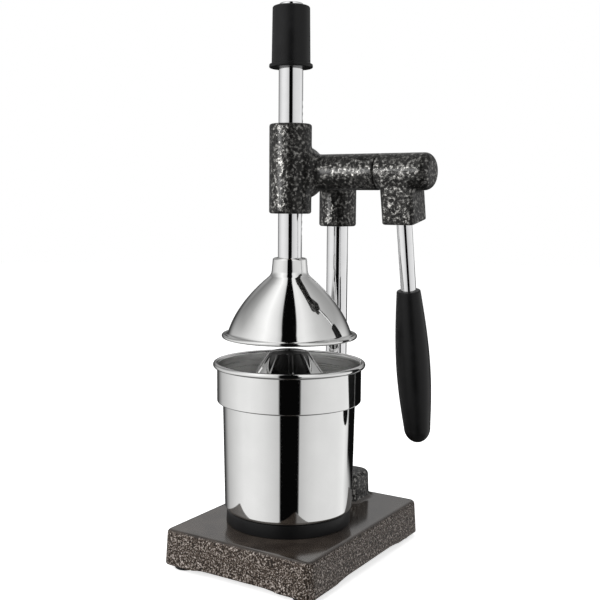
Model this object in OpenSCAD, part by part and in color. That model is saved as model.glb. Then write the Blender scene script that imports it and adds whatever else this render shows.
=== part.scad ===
// Lever citrus press. Millimetres, +Z up, +X towards the lever, -Y towards the user.
// The origin is on the ram axis, in the plane that the rubber feet stand on.

/* [Base] */
// Width of the base casting at its top edge
base_w = 113; // [106:1:140]
// Depth of the base casting at its top edge, front to back
base_l = 149; // [140:1:175]
// Distance from the ram axis to the front edge of the base top
base_front = 63.5; // [56:0.5:65]
// Height of the base casting without its feet
base_h = 23.5; // [20:0.5:32]
// Plan radius of the corners of the base
base_corner_r = 5; // [3.5:0.5:14]
// Widening of the base from top to bottom, each side
base_draft = 1.5; // [0:0.25:3]
// Rounding of the top edge of the base
base_edge_r = 2.5; // [1:0.5:4]
// Wall of the hollow base casting
base_wall = 6; // [4:0.5:8]
// Thickness of the top plate of the base
base_plate = 7; // [5:0.5:9]
// Height of the round pad that locates the cup seat
pad_h = 4; // [2:0.5:6]
// Radius of that pad
pad_r = 25; // [18:1:30]

/* [Feet] */
// Radius of a rubber foot
foot_r = 7.5; // [6:0.5:9]
// Height of a rubber foot
foot_h = 3.5; // [3:0.5:5]
// Distance from a foot's centre to the edges of the base top
foot_inset = 10; // [9:0.5:13]

/* [Column] */
// Diameter of the column
col_d = 15.2; // [12:0.2:20]
// Distance from the ram axis to the column axis
col_y = 63.3; // [58:0.1:64]
// Width of the column boss on the base
boss_w = 46; // [34:1:48]
// Depth of the column boss on the base
boss_l = 33; // [26:1:33]
// Height of that boss above the base top
boss_h = 19.5; // [12:0.5:26]
// Root flare of that boss
boss_flare = 4; // [2:0.5:5]

/* [Cup] */
// Outer radius of the cup body at its bottom
cup_r0 = 43.3; // [38:0.1:44]
// Outer radius of the cup body under the step
cup_r1 = 44.7; // [43.4:0.1:46]
// Outer radius of the cup collar
collar_r = 48.6; // [47.5:0.1:50]
// Height of the cup from its bottom to the middle of the rolled rim
cup_h = 98.4; // [88:0.2:104]
// Height of the collar from the step to the middle of the rolled rim
collar_h = 23.9; // [20:0.1:26]
// Height of the sloping step
step_h = 5; // [3:0.5:6]
// Wall of the cup
cup_t = 1; // [0.8:0.1:1.2]
// Radius of the roll at the cup rim
cup_bead = 1.85; // [1.6:0.05:2.6]
// Height of the black seat ring under the cup
seat_h = 9; // [6.5:0.5:12]
// Outer radius of the seat ring at its foot
seat_r = 42.4; // [38:0.2:43]

/* [Strainer and reamer] */
// Thickness of the strainer sheet
strainer_t = 1; // [0.8:0.1:1.2]
// Depth of the strainer dish under its flange
dish_h = 6; // [4:0.5:8]
// Radius of one hole of the strainer
hole_r = 1.2; // [0.8:0.1:1.4]
// Height of the reamer from the strainer floor to its crown
reamer_h = 36.5; // [30:0.5:38]
// Radius of the reamer shoulder
reamer_r = 24; // [20:0.5:25]
// Radius of the reamer crown
crown_r = 13; // [10:0.5:14]
// Number of ridges on the reamer
ridges = 10; // [6:1:12]
// Height of a ridge
ridge_h = 0.9; // [0.5:0.1:1.2]

/* [Ram] */
// Diameter of the ram rod
ram_d = 16; // [16:0.5:17]
// Height of the sleeve bottom over the cup rim roll, on its middle
sleeve_over_cup = 100.8; // [98:0.2:120]
// Gap between the bell neck and the sleeve as the press stands
open_up = 29.4; // [20:0.2:36]
// Gap between the sleeve and the cap as the press stands
open_down = 36; // [20:0.2:40]
// What is left of each gap when the ram stops
stop_gap = 0.8; // [0.3:0.1:2]
// Length of the rubber cap
cap_h = 39.2; // [30:0.2:55]
// Radius of the cap at its top
cap_r0 = 12.2; // [10.5:0.1:13]
// Radius of the cap above its lip
cap_r1 = 12.7; // [10.5:0.1:13.5]
// Radius of the cap's lip
cap_lip_r = 14.4; // [13.6:0.1:16]
// Height of the cap's lip
cap_lip_h = 2.4; // [1.6:0.2:4]
// Length of rod that stands out of the cap
rod_stub = 2; // [1:0.5:5]

/* [Press bell] */
// Height of the bell from its lip to its neck top
bell_h = 53.3; // [46:0.1:60]
// Outer radius of the bell lip
bell_lip_r = 45.5; // [42:0.1:45.6]
// Outer radius of the bell wall where it meets the lip
bell_r = 41.4; // [36:0.2:41.8]
// Outer radius of the bell neck at its top
neck_r0 = 11.3; // [10.8:0.1:12]
// Outer radius of the bell neck at its foot
neck_r1 = 12.3; // [11.6:0.1:14]
// Height of the bell neck
neck_h = 11; // [8:0.5:13]
// Wall of the bell
bell_t = 1.2; // [0.8:0.1:1.6]
// Radius of the roll at the bell lip
bell_bead = 1.3; // [0.8:0.1:1.5]

/* [Head] */
// Outer radius of the ram sleeve
sleeve_r = 14; // [12.5:0.5:16]
// Length of the ram sleeve
sleeve_h = 58.6; // [54:0.2:70]
// Height of the pinion axis over the sleeve bottom
axis_up = 27.4; // [26:0.2:30]
// Outer radius of the pinion tube and of the lever hub
tube_r = 11.8; // [11.4:0.1:13]
// Distance from the ram axis to the seam between tube and hub
seam_x = 58.6; // [50:0.2:70]
// Outer radius of the gear housing behind the ram
housing_r = 20; // [18:0.5:22]
// Outer radius of the head's column boss
head_boss_r = 13.2; // [12.5:0.1:16]
// Length of the head's column boss
head_boss_h = 48; // [44:0.5:52]
// Height of the arm between housing and column boss
arm_h = 22; // [16:1:24]
// Width of that arm
arm_w = 18; // [12:1:22]

/* [Rack and pinion] */
// Module of the teeth
tooth_m = 1.5; // [1.4:0.05:1.6]
// Teeth of the pinion
pinion_z = 14; // [13:1:14]
// Pressure angle
press_a = 25; // [22:1:27]
// Diameter of the pinion shaft
shaft_d = 12; // [10:0.5:13]
// Width of the pinion
pinion_w = 15; // [12:0.5:15.5]

/* [Lever] */
// Tilt of the lever from the vertical as the press stands
lever_tilt = 10.5; // [0:0.5:20]
// Length of the lever hub from the seam to its rounded end
hub_l = 37; // [36:0.5:50]
// Width of the rod socket along the pinion axis
socket_w = 22.5; // [18:0.5:24]
// Depth of the rod socket across the pinion axis
socket_l = 22; // [16:0.5:22]
// Distance from the pinion axis to the socket's end
socket_h = 32.5; // [26:0.5:40]
// Distance from the seam to the lever rod's axis
lever_x = 15; // [14:0.5:22]
// Diameter of the lever rod
lever_d = 10; // [8:0.5:12]
// Distance from the pinion axis to the top of the grip
grip_from = 78; // [60:0.5:90]
// Length of the grip
grip_l = 107; // [90:1:130]
// Radius of the grip at its top
grip_r0 = 7.8; // [7:0.1:9]
// Radius of the grip at its thickest
grip_r1 = 11.4; // [10:0.1:13]

/* [Fits and screws] */
// Radial clearance of running fits
run_gap = 0.05; // [0.02:0.01:0.09]
// Radial clearance of pieces that are fastened together
fix_gap = 0.02; // [0.01:0.01:0.05]
// Wall of the plain bushes
bush_t = 1.6; // [1.2:0.1:2]
// Radius of the column bolt
bolt_r = 4; // [3:0.5:5]
// Radius of the bell screw and of the foot screws
screw_r = 2; // [1.5:0.25:2.5]
// Radius of the grub screws
grub_r = 2.5; // [2:0.25:3]

/* [Hidden] */
$fn = 96;
// Facets of pieces that are made as a hull
hull_fn = 32;
// Overlap that keeps a cut from ending on a face
eps = 0.5;

// Heights, from the floor up
base_top = foot_h + base_h;
plate_z = base_top - base_plate;
seat_top = base_top + seat_h;
rim_z = seat_top + cup_h;
step_top = rim_z - collar_h;
step_foot = step_top - step_h;
sleeve_z = rim_z + sleeve_over_cup;
sleeve_top = sleeve_z + sleeve_h;
axis_z = sleeve_z + axis_up;
neck_top = sleeve_z - open_up;
lip_z = neck_top - bell_h;
cap_z = sleeve_top + open_down;
cap_top = cap_z + cap_h;
travel_up = open_up - stop_gap;
travel_down = open_down - stop_gap;

// Plan of the base
front_y = -base_front;
back_y = base_l - base_front;
mid_y = (front_y + back_y) / 2;
foot_x = base_w / 2 - foot_inset;
foot_ys = [front_y + foot_inset, back_y - foot_inset];

// Column seat: floor of its hole in the base, and the boss that carries the bolt under it
col_r = col_d / 2;
nut_boss_r = col_r + 8;
bolt_face_z = foot_h + bolt_r * 1.75;
col_floor_z = bolt_face_z + 6;
washer_t = 1.6;
bolt_reach = col_d * 1.2;
bolt_bore = bolt_reach * 1.2;
head_boss_z = axis_z + arm_h / 2 - head_boss_h;
head_boss_top = head_boss_z + head_boss_h;
col_top = head_boss_top - 4;
head_grub_z = head_boss_z + head_boss_h / 3;

// Foot screws: how deep the foot is recessed for the head, and the head's size
foot_sink = foot_h * 0.53;
screw_head_r = screw_r * 1.8;
screw_head_h = 1.4;
foot_screw_l = foot_r * 4 / 3;

// Rack and pinion
pitch = PI * tooth_m;
pinion_r = tooth_m * pinion_z / 2;
addendum = 0.8 * tooth_m;
dedendum = 1.1 * tooth_m;
backlash = 0.2;
ram_r = ram_d / 2;
rack_tip_y = ram_r - 2.3;
axis_y = rack_tip_y - addendum + pinion_r;
tip_r = pinion_r + addendum;
root_r = pinion_r - dedendum;
mesh_l = sqrt(pow(tip_r, 2) - pow(pinion_r - addendum, 2));
shaft_r = shaft_d / 2;
chamber_r = tip_r + 0.5;
chamber_x = pinion_w / 2 + 0.5;
plug_x = chamber_x + shaft_r + 1;
plug_r = chamber_r + 0.8;
shaft_x0 = -plug_x + 1.5;
bush_r = shaft_r + bush_t;
hub_x0 = seam_x + 0.4;
hub_x1 = seam_x + hub_l;
shaft_x1 = hub_x1 - 8;
rod_bush_r = ram_r + bush_t;
rod_bush_h = ram_d * 0.75;
shaft_bush_l = shaft_d * 4 / 3;
thrust_t = 1.2;
thrust_r = tube_r - 2;

// Bell fastening, from the rod's shoulder down
spigot_r = ram_r - 3;
hub_h = neck_h - bell_t - 1;
bell_hub_z = neck_top - bell_t - hub_h;
rod_foot = bell_hub_z + 1;
bell_washer_t = 1.5;
bell_washer_r = ram_r;
bell_screw_r = screw_r + 0.5;
bell_screw_l = ram_d * 0.75;
bell_screw_bore = bell_screw_l + 2;

// Lever rod in its socket and in the grip
lever_rod_top = shaft_r + 5;
rod_in_grip = grip_l * 0.7;

// Strainer dish hung on the cup's step, and the reamer that stands on it
flange_r = collar_r - cup_t - 0.4;
flange_z = step_top - 0.4 * step_h / (collar_r - cup_r1) + 0.02;
floor_z = flange_z - dish_h;
dish_r = cup_r1 - cup_t - 0.7;
locator_r = reamer_r - 1.6;
reamer_t = 1;
reamer_skirt = reamer_r + 1.6;
reamer_foot = floor_z + strainer_t;
crown_z = floor_z + reamer_h;
shoulder_z = crown_z - 12.5;

function inv_deg(a) = tan(a) * 180 / PI - a;
// Polar angle of a pinion flank at radius r, from the middle of its tooth
function flank_a(r) = 90 / pinion_z - backlash / 2 / pinion_r * 180 / PI
    + inv_deg(press_a) - inv_deg(acos(min(1, pinion_r * cos(press_a) / r)));
function polar(r, a) = [r * cos(a), r * sin(a)];
flank_n = 6;
flank_r0 = max(root_r, pinion_r * cos(press_a));
flank_rs = [root_r, for (i = [0:flank_n]) flank_r0 + (tip_r - flank_r0) * i / flank_n];
pinion_pts = [for (k = [0:pinion_z - 1]) let (c = 360 * (k + 0.5) / pinion_z)
    each concat([for (r = flank_rs) polar(r, c - flank_a(r))],
                [for (i = [len(flank_rs) - 1:-1:0]) polar(flank_rs[i], c + flank_a(flank_rs[i]))])];

// Point at share t of the quadratic curve a, b, c, and its unit normal towards the axis
function bez(a, b, c, t) = pow(1 - t, 2) * a + 2 * t * (1 - t) * b + t * t * c;
function bez_n(a, b, c, t) = let (d = (1 - t) * (b - a) + t * (c - b), u = d / norm(d)) [u.y, -u.x];

// Outline with rounded outer corners, from the axis to radius r, of height h
module post2(r, h, e) {
    square([r - e, h]);
    translate([0, e]) square([r, h - 2 * e]);
    for (y = [e, h - e]) translate([r - e, y]) circle(e);
}

// Rounded rectangle of exact arcs, centred
module rrect2(w, l, r) {
    square([w - 2 * r, l], center = true);
    square([w, l - 2 * r], center = true);
    for (x = [-1, 1], y = [-1, 1]) translate([x * (w / 2 - r), y * (l / 2 - r)]) circle(r);
}

// Solid of revolution along +X, from its outline of (distance along X, radius)
module turned_x() {
    rotate([90, 0, 90]) rotate_extrude() children();
}

module ring(r_out, r_in, h) {
    difference() {
        cylinder(r = r_out, h = h);
        translate([0, 0, -eps]) cylinder(r = r_in, h = h + 2 * eps);
    }
}

// Drafted block with rounded plan and top edge, its foot on z = 0
module drafted(w, l, h, r, draft, e) {
    hull() for (x = [-1, 1], y = [-1, 1]) translate([x * (w / 2 - r), y * (l / 2 - r), 0])
        rotate_extrude($fn = hull_fn) {
            polygon([[0, 0], [r + draft, 0], [r, h - e], [0, h - e]]);
            intersection() {
                translate([r - e, h - e]) circle(e, $fn = hull_fn);
                square([r, h]);
            }
            square([r - e, h]);
        }
}

// Grub screw along +Z with a hexagon socket in its top
module grub(r, l) {
    difference() {
        cylinder(r = r - fix_gap, h = l);
        translate([0, 0, l * 0.45]) cylinder(r = r * 0.55, h = l, $fn = 6);
    }
}

// Hexagon or round headed screw along +Z, its head below z = 0
module screw(r, l, head_r, head_h, hex) {
    cylinder(r = r - fix_gap, h = l);
    translate([0, 0, -head_h]) difference() {
        cylinder(r = head_r, h = head_h, $fn = hex ? 6 : 96);
        if (!hex) translate([0, 0, -eps]) cylinder(r = r * 0.9, h = head_h * 0.55 + eps, $fn = 6);
    }
}

module at_feet() {
    for (x = [-foot_x, foot_x], y = foot_ys) translate([x, y, 0]) children();
}

module base_casting() {
    color([0.33, 0.29, 0.26]) difference() {
        union() {
            translate([0, mid_y, foot_h])
                drafted(base_w, base_l, base_h, base_corner_r, base_draft, base_edge_r);
            translate([0, 0, base_top - eps]) cylinder(r = pad_r, h = pad_h + eps);
            translate([0, col_y, base_top - eps])
                drafted(boss_w, boss_l, boss_h + eps, 10, 0.8, 2);
            translate([0, col_y, base_top - eps])
                drafted(boss_w, boss_l, boss_flare + eps, 10, boss_flare, 0.4);
        }
        difference() {
            translate([0, mid_y, foot_h - eps]) linear_extrude(plate_z - foot_h + eps)
                rrect2(base_w - 2 * base_wall, base_l - 2 * base_wall, base_corner_r - 3);
            at_feet() cylinder(r = foot_r + 0.5, h = base_top);
            translate([0, col_y, bolt_face_z]) cylinder(r = nut_boss_r, h = base_h);
        }
        at_feet() translate([0, 0, foot_h - eps])
            cylinder(r = screw_r, h = foot_screw_l + eps);
        translate([0, col_y, col_floor_z]) cylinder(r = col_r + fix_gap, h = base_h + boss_h);
        translate([0, col_y, 0]) cylinder(r = bolt_r + 0.3, h = base_top);
        translate([0, col_y, foot_h - eps])
            cylinder(r = bolt_r * 2.2, h = bolt_face_z - foot_h + eps);
    }
}

module rubber_feet() {
    color([0.06, 0.06, 0.06]) at_feet() difference() {
        rotate_extrude() post2(foot_r, foot_h, 0.6);
        translate([0, 0, -eps]) cylinder(r = screw_r + 0.1, h = foot_h + 2 * eps);
        translate([0, 0, -eps]) cylinder(r = screw_head_r + 0.3, h = foot_h - foot_sink + 0.2 + eps);
    }
}

module foot_screws() {
    color([0.7, 0.7, 0.72]) at_feet() translate([0, 0, foot_h - foot_sink + 0.2])
        screw(screw_r, foot_sink + foot_screw_l - 1, screw_head_r, screw_head_h - 0.2, false);
}

module cup_seat_ring() {
    color([0.05, 0.05, 0.05]) translate([0, 0, base_top])
        rotate_extrude() polygon([[pad_r + fix_gap, 0], [seat_r, 0], [seat_r - 0.6, seat_h - 0.8],
            [seat_r - 1.4, seat_h], [pad_r + fix_gap, seat_h]]);
}

module column() {
    color([0.8, 0.81, 0.83]) translate([0, col_y, 0]) difference() {
        rotate_extrude() polygon([[0, col_floor_z], [col_r - 1, col_floor_z], [col_r, col_floor_z + 1],
            [col_r, col_top - 1], [col_r - 1, col_top], [0, col_top]]);
        translate([0, 0, col_floor_z - eps]) cylinder(r = bolt_r, h = bolt_bore + eps);
    }
}

module column_bolt() {
    color([0.65, 0.66, 0.68]) translate([0, col_y, bolt_face_z - washer_t])
        screw(bolt_r, washer_t + col_floor_z - bolt_face_z + bolt_reach, bolt_r * 1.85,
            bolt_r * 1.25, true);
}

module column_washer() {
    color([0.7, 0.71, 0.73]) translate([0, col_y, bolt_face_z - washer_t])
        ring(bolt_r * 2, bolt_r + 0.3, washer_t);
}

module head_casting() {
    flare = housing_r - tube_r;
    color([0.13, 0.13, 0.13]) difference() {
        union() {
            translate([0, 0, sleeve_z]) rotate_extrude() post2(sleeve_r, sleeve_h, 1.2);
            // Gear housing, blending into the tube in a hollow curve
            translate([0, axis_y, axis_z]) rotate([0, 90, 0]) {
                rotate_extrude() difference() {
                    polygon([[0, -plug_x], [plug_r + 2.4, -plug_x], [plug_r + 4, -plug_x + 1.6],
                        [housing_r, -chamber_x], [housing_r, chamber_x],
                        [housing_r, chamber_x + flare], [tube_r, chamber_x + flare],
                        [tube_r, seam_x - 0.8], [tube_r - 0.8, seam_x], [0, seam_x]]);
                    translate([housing_r, chamber_x + flare]) circle(flare);
                }
            }
            translate([0, axis_y + housing_r / 2, axis_z]) rotate([-90, 0, 0])
                linear_extrude(col_y - axis_y - housing_r / 2) rrect2(arm_w, arm_h, 5);
            translate([0, col_y, head_boss_z]) rotate_extrude() post2(head_boss_r, head_boss_h, 1.5);
        }
        translate([0, 0, sleeve_z - eps]) cylinder(r = rod_bush_r, h = sleeve_h + 2 * eps);
        translate([0, col_y, head_boss_z - eps])
            cylinder(r = col_r + fix_gap, h = col_top - head_boss_z + eps);
        translate([0, axis_y, axis_z]) rotate([0, 90, 0]) {
            translate([0, 0, -chamber_x]) cylinder(r = chamber_r, h = 2 * chamber_x);
            translate([0, 0, -plug_x - eps]) cylinder(r = plug_r, h = plug_x - chamber_x + eps);
            cylinder(r = bush_r, h = seam_x + eps);
            translate([0, 0, seam_x - thrust_t]) cylinder(r = thrust_r + 0.1, h = thrust_t + eps);
        }
        translate([0, col_y, head_grub_z]) rotate([-90, 0, 0])
            cylinder(r = grub_r, h = head_boss_r + eps);
    }
}

module head_grub_screw() {
    color([0.2, 0.2, 0.21]) translate([0, col_y + col_r, head_grub_z]) rotate([-90, 0, 0])
        grub(grub_r, head_boss_r - col_r - 0.6);
}

module housing_plug() {
    color([0.5, 0.51, 0.52]) translate([0, axis_y, axis_z]) rotate([0, 90, 0])
        translate([0, 0, -plug_x]) difference() {
            cylinder(r = plug_r - fix_gap, h = plug_x - chamber_x - 0.2);
            translate([0, 0, 1]) cylinder(r = bush_r, h = plug_x);
        }
}

module rod_bush(z, h) {
    color([0.72, 0.55, 0.28]) translate([0, 0, z])
        ring(rod_bush_r - fix_gap, ram_r + run_gap, h);
}

module upper_rod_bush() rod_bush(sleeve_top - rod_bush_h, rod_bush_h);
module lower_rod_bush() rod_bush(sleeve_z, rod_bush_h);

module shaft_bush(x, l) {
    color([0.72, 0.55, 0.28]) translate([x, axis_y, axis_z]) rotate([0, 90, 0])
        ring(bush_r - fix_gap, shaft_r + run_gap, l);
}

module shaft_inner_bush() shaft_bush(1 - plug_x, plug_x - chamber_x - 1.2);
module shaft_outer_bush() shaft_bush(seam_x - thrust_t - shaft_bush_l, shaft_bush_l);

module thrust_washer() {
    color([0.85, 0.84, 0.78]) translate([seam_x - thrust_t, axis_y, axis_z]) rotate([0, 90, 0])
        ring(thrust_r, shaft_r + run_gap, thrust_t + 0.2);
}

module pinion_shaft() {
    color([0.6, 0.61, 0.63]) translate([0, axis_y, axis_z]) {
        translate([shaft_x0, 0, 0]) rotate([0, 90, 0]) cylinder(r = shaft_r, h = shaft_x1 - shaft_x0);
        // The middle of a gap between two teeth points at the ram
        rotate([90, 0, 90]) translate([0, 0, -pinion_w / 2])
            linear_extrude(pinion_w) rotate([0, 0, 180]) polygon(pinion_pts);
    }
}

// Places what turns with the lever: its local -Z runs down the lever
module on_lever() {
    translate([0, axis_y, axis_z]) rotate([lever_tilt, 0, 0]) children();
}

module lever_hub() {
    end_r = tube_r * 0.48;
    color([0.14, 0.14, 0.13]) on_lever() difference() {
        union() {
            rotate([0, 90, 0]) rotate_extrude() {
                polygon([[0, hub_x0], [tube_r - 0.8, hub_x0], [tube_r, hub_x0 + 0.8],
                    [tube_r, hub_x1 - end_r], [tube_r - end_r, hub_x1 - end_r],
                    [tube_r - end_r, hub_x1], [0, hub_x1]]);
                translate([tube_r - end_r, hub_x1 - end_r]) circle(end_r);
            }
            translate([seam_x + lever_x, 0, -socket_h]) linear_extrude(socket_h)
                rrect2(socket_w, socket_l, 2.5);
        }
        translate([seam_x - eps, 0, 0]) rotate([0, 90, 0])
            cylinder(r = shaft_r + fix_gap, h = shaft_x1 + 0.2 - seam_x + eps);
        translate([seam_x + lever_x, 0, -socket_h - eps])
            cylinder(r = lever_d / 2 + fix_gap, h = socket_h - lever_rod_top + eps);
        translate([seam_x + lever_x, shaft_r - 1, 0]) rotate([-90, 0, 0])
            cylinder(r = grub_r, h = tube_r);
    }
}

module hub_grub_screw() {
    color([0.2, 0.2, 0.21]) on_lever() translate([seam_x + lever_x, shaft_r + 0.05, 0])
        rotate([-90, 0, 0]) grub(grub_r, tube_r - shaft_r - 0.6);
}

module lever_rod() {
    r = lever_d / 2;
    tip = grip_from + rod_in_grip;
    color([0.8, 0.81, 0.83]) on_lever() translate([seam_x + lever_x, 0, -tip]) rotate_extrude()
        polygon([[0, 0], [r - 0.8, 0], [r, 0.8], [r, tip - lever_rod_top - 0.8],
            [r - 0.8, tip - lever_rod_top], [0, tip - lever_rod_top]]);
}

// Radius of the grip at distance s from its top: it swells, thins and ends in a round nose
grip_peak = 0.51;
grip_nose = 0.9;
grip_rn = (grip_r0 + grip_r1) / 2 - 0.6;
function grip_r(u) =
    u < grip_peak ? grip_r0 + (grip_r1 - grip_r0) * sin(90 * u / grip_peak)
    : u < grip_nose
        ? grip_r1 - (grip_r1 - grip_rn) * (1 - cos(90 * (u - grip_peak) / (grip_nose - grip_peak)))
    : grip_rn * sqrt(max(0, 1 - pow((u - grip_nose) / (1 - grip_nose), 2)));

module grip() {
    n = 40;
    color([0.05, 0.05, 0.05]) on_lever() translate([seam_x + lever_x, 0, -grip_from]) mirror([0, 0, 1])
        difference() {
            rotate_extrude() polygon(concat([[0, 0], [grip_r0 - 1, 0], [grip_r0, 0.8]],
                [for (i = [1:n - 1]) [grip_r(i / n), grip_l * i / n]],
                [for (a = [15:15:75])
                    [grip_r((n - cos(a) * 0.9) / n) * cos(a), grip_l * (n - 1 + sin(a)) / n]],
                [[0, grip_l]]));
            translate([0, 0, -eps]) cylinder(r = lever_d / 2 + fix_gap, h = rod_in_grip + eps + 0.2);
        }
}

module ram_rod() {
    lo = axis_z - travel_up - mesh_l - pitch;
    hi = axis_z + travel_down + mesh_l + pitch;
    k0 = floor((lo - axis_z) / pitch);
    k1 = ceil((hi - axis_z) / pitch) - 1;
    half = pitch / 4;
    top = cap_top + rod_stub;
    color([0.8, 0.81, 0.83]) difference() {
        rotate_extrude() polygon([[0, rod_foot], [spigot_r, rod_foot], [spigot_r, neck_top],
            [ram_r, neck_top], [ram_r, top - 1.2], [ram_r - 1.2, top], [0, top]]);
        // Flat of the rack, and the gaps between its teeth
        translate([-ram_r - eps, rack_tip_y, axis_z + k0 * pitch])
            cube([ram_d + 2 * eps, ram_r, (k1 + 1 - k0) * pitch]);
        for (k = [k0:k1]) translate([ram_r + eps, 0, axis_z + (k + 0.5) * pitch]) rotate([90, 0, -90])
            linear_extrude(ram_d + 2 * eps) mirror([1, 0]) polygon([
                [rack_tip_y + eps, -half - (addendum + eps) * tan(press_a)],
                [rack_tip_y - addendum - dedendum, -half + dedendum * tan(press_a)],
                [rack_tip_y - addendum - dedendum, half - dedendum * tan(press_a)],
                [rack_tip_y + eps, half + (addendum + eps) * tan(press_a)]]);
        translate([0, 0, rod_foot - eps]) cylinder(r = bell_screw_r, h = bell_screw_bore + eps);
    }
}

module ram_cap() {
    e = 1;
    color([0.05, 0.05, 0.05]) translate([0, 0, cap_z]) difference() {
        rotate_extrude() polygon([[0, 0], [cap_lip_r - 0.8, 0], [cap_lip_r, 0.8],
            [cap_lip_r - 0.3, cap_lip_h], [cap_r1 + 0.5, cap_lip_h + 0.4], [cap_r1, cap_lip_h + 1.4],
            [cap_r0, cap_h - e], [cap_r0 - e, cap_h], [0, cap_h]]);
        translate([0, 0, -eps]) cylinder(r = ram_r + fix_gap, h = cap_h + 2 * eps);
    }
}

module press_bell() {
    n = 18;
    a = [neck_r1, neck_top - neck_h];
    c = [bell_r, lip_z + 2 * bell_bead + 0.6];
    // The wall leaves the neck at 1.2 out for 1 down and meets the lip at 0.3 out for 1 down
    s = (c.x - a.x - 0.3 * (a.y - c.y)) / (1.2 - 0.3);
    b = a + s * [1.2, -1];
    roll = [bell_lip_r - bell_bead, lip_z + bell_bead];
    outer = [for (i = [0:n]) bez(a, b, c, i / n)];
    inner = [for (i = [n:-1:1]) bez(a, b, c, i / n) + bell_t * bez_n(a, b, c, i / n)];
    color([0.78, 0.79, 0.8]) rotate_extrude() polygon(concat(
        [[spigot_r + fix_gap, neck_top], [neck_r0 - 1.5, neck_top], [neck_r0 - 0.4, neck_top - 0.5],
            [neck_r0, neck_top - 1.6]],
        outer,
        [[bell_r + 1, lip_z + 2 * bell_bead - 0.3]],
        [for (w = [105:-15:-150]) roll + polar(bell_bead, w)],
        [[bell_r - bell_t, lip_z + 0.7]],
        inner,
        [[neck_r1 - bell_t, neck_top - neck_h], [neck_r0 - bell_t, neck_top - bell_t],
            [spigot_r + fix_gap, neck_top - bell_t]]));
}

module bell_hub() {
    color([0.7, 0.71, 0.73]) translate([0, 0, bell_hub_z])
        ring(neck_r0 - bell_t - 0.1, spigot_r + fix_gap, hub_h);
}

module bell_washer() {
    color([0.75, 0.76, 0.78]) translate([0, 0, bell_hub_z - bell_washer_t])
        ring(bell_washer_r, bell_screw_r + 0.1, bell_washer_t);
}

module bell_screw() {
    color([0.7, 0.7, 0.72]) translate([0, 0, bell_hub_z - bell_washer_t])
        screw(bell_screw_r, bell_washer_t + bell_screw_l, bell_screw_r * 1.8, 2.6, false);
}

module cup() {
    color([0.8, 0.81, 0.82]) rotate_extrude() {
        polygon(concat([[0, seat_top], [cup_r0 - 2.5, seat_top], [cup_r0 - 0.8, seat_top + 0.8],
            [cup_r0, seat_top + 2.6], [cup_r1, step_foot], [collar_r, step_top],
            [collar_r, rim_z], [collar_r - cup_t, rim_z], [collar_r - cup_t, step_top],
            [cup_r1 - cup_t, step_foot], [cup_r0 - cup_t, seat_top + 3],
            [cup_r0 - 1.2 - cup_t, seat_top + 1 + cup_t], [cup_r0 - 3, seat_top + cup_t],
            [0, seat_top + cup_t]]));
        translate([collar_r - cup_t + cup_bead, rim_z]) circle(cup_bead, $fn = 48);
    }
}

module strainer() {
    color([0.72, 0.73, 0.75]) difference() {
        union() {
            translate([0, 0, flange_z]) ring(flange_r, dish_r - strainer_t, strainer_t);
            translate([0, 0, floor_z]) ring(dish_r, dish_r - strainer_t, dish_h + strainer_t);
            translate([0, 0, floor_z]) cylinder(r = dish_r, h = strainer_t);
            translate([0, 0, floor_z]) ring(locator_r, locator_r - strainer_t, 5);
        }
        for (i = [0:2])
            let (r = reamer_skirt + 3.2 + i * (dish_r - reamer_skirt - 6.4) / 2, n = floor(r * 0.8))
            for (k = [0:n - 1]) rotate(360 * k / n + i * 5) translate([r, 0, floor_z - eps])
                cylinder(r = hole_r, h = strainer_t + 2 * eps, $fn = 24);
    }
}

// Reamer: a pressed dome on a skirt, with round ridges along its slope
module reamer() {
    run = reamer_r - 0.8 - crown_r;
    rise = crown_z - 1 - shoulder_z;
    slope = atan2(run, rise);
    color([0.75, 0.76, 0.78]) difference() {
        union() {
            rotate_extrude() polygon([[0, reamer_foot], [reamer_skirt, reamer_foot],
                [reamer_r, shoulder_z - 1], [reamer_r - 0.8, shoulder_z], [crown_r, crown_z - 1],
                [crown_r - 2, crown_z], [3, crown_z + 0.4], [1.6, crown_z + 1.3], [0, crown_z + 1.6]]);
            for (k = [0:ridges - 1]) rotate(360 * (k + 0.5) / ridges)
                translate([reamer_r - 0.8, 0, shoulder_z]) rotate([0, -slope, 0])
                    translate([ridge_h - 1.8, 0, -0.6])
                        cylinder(r = 1.8, h = norm([run, rise]) + 0.9, $fn = 24);
        }
        rotate_extrude() polygon([[0, reamer_foot - eps], [reamer_skirt - reamer_t, reamer_foot - eps],
            [reamer_r - reamer_t - 2, shoulder_z - 2], [crown_r - 3.2, crown_z - 3.5], [0, crown_z - 2.5]]);
    }
}

base_casting();
rubber_feet();
foot_screws();
cup_seat_ring();
column();
column_bolt();
column_washer();
head_casting();
housing_plug();
head_grub_screw();
upper_rod_bush();
lower_rod_bush();
shaft_inner_bush();
shaft_outer_bush();
thrust_washer();
pinion_shaft();
lever_hub();
hub_grub_screw();
lever_rod();
grip();
ram_rod();
ram_cap();
press_bell();
bell_hub();
bell_washer();
bell_screw();
cup();
strainer();
reamer();
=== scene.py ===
"""Dressed scene of a lever citrus press: pieces, finishes, studio and camera.

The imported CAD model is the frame. Pieces that show are computed again as finer surfaces in the
same place, and the rest of the CAD nodes keep their meshes and get a finish. Lengths in the piece
classes are millimetres, from the floor up, as in the part's own source.
"""

import logging
import math
from dataclasses import dataclass
from enum import Enum
from typing import Callable

import bpy
import numpy as np
from mathutils import Matrix


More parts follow.
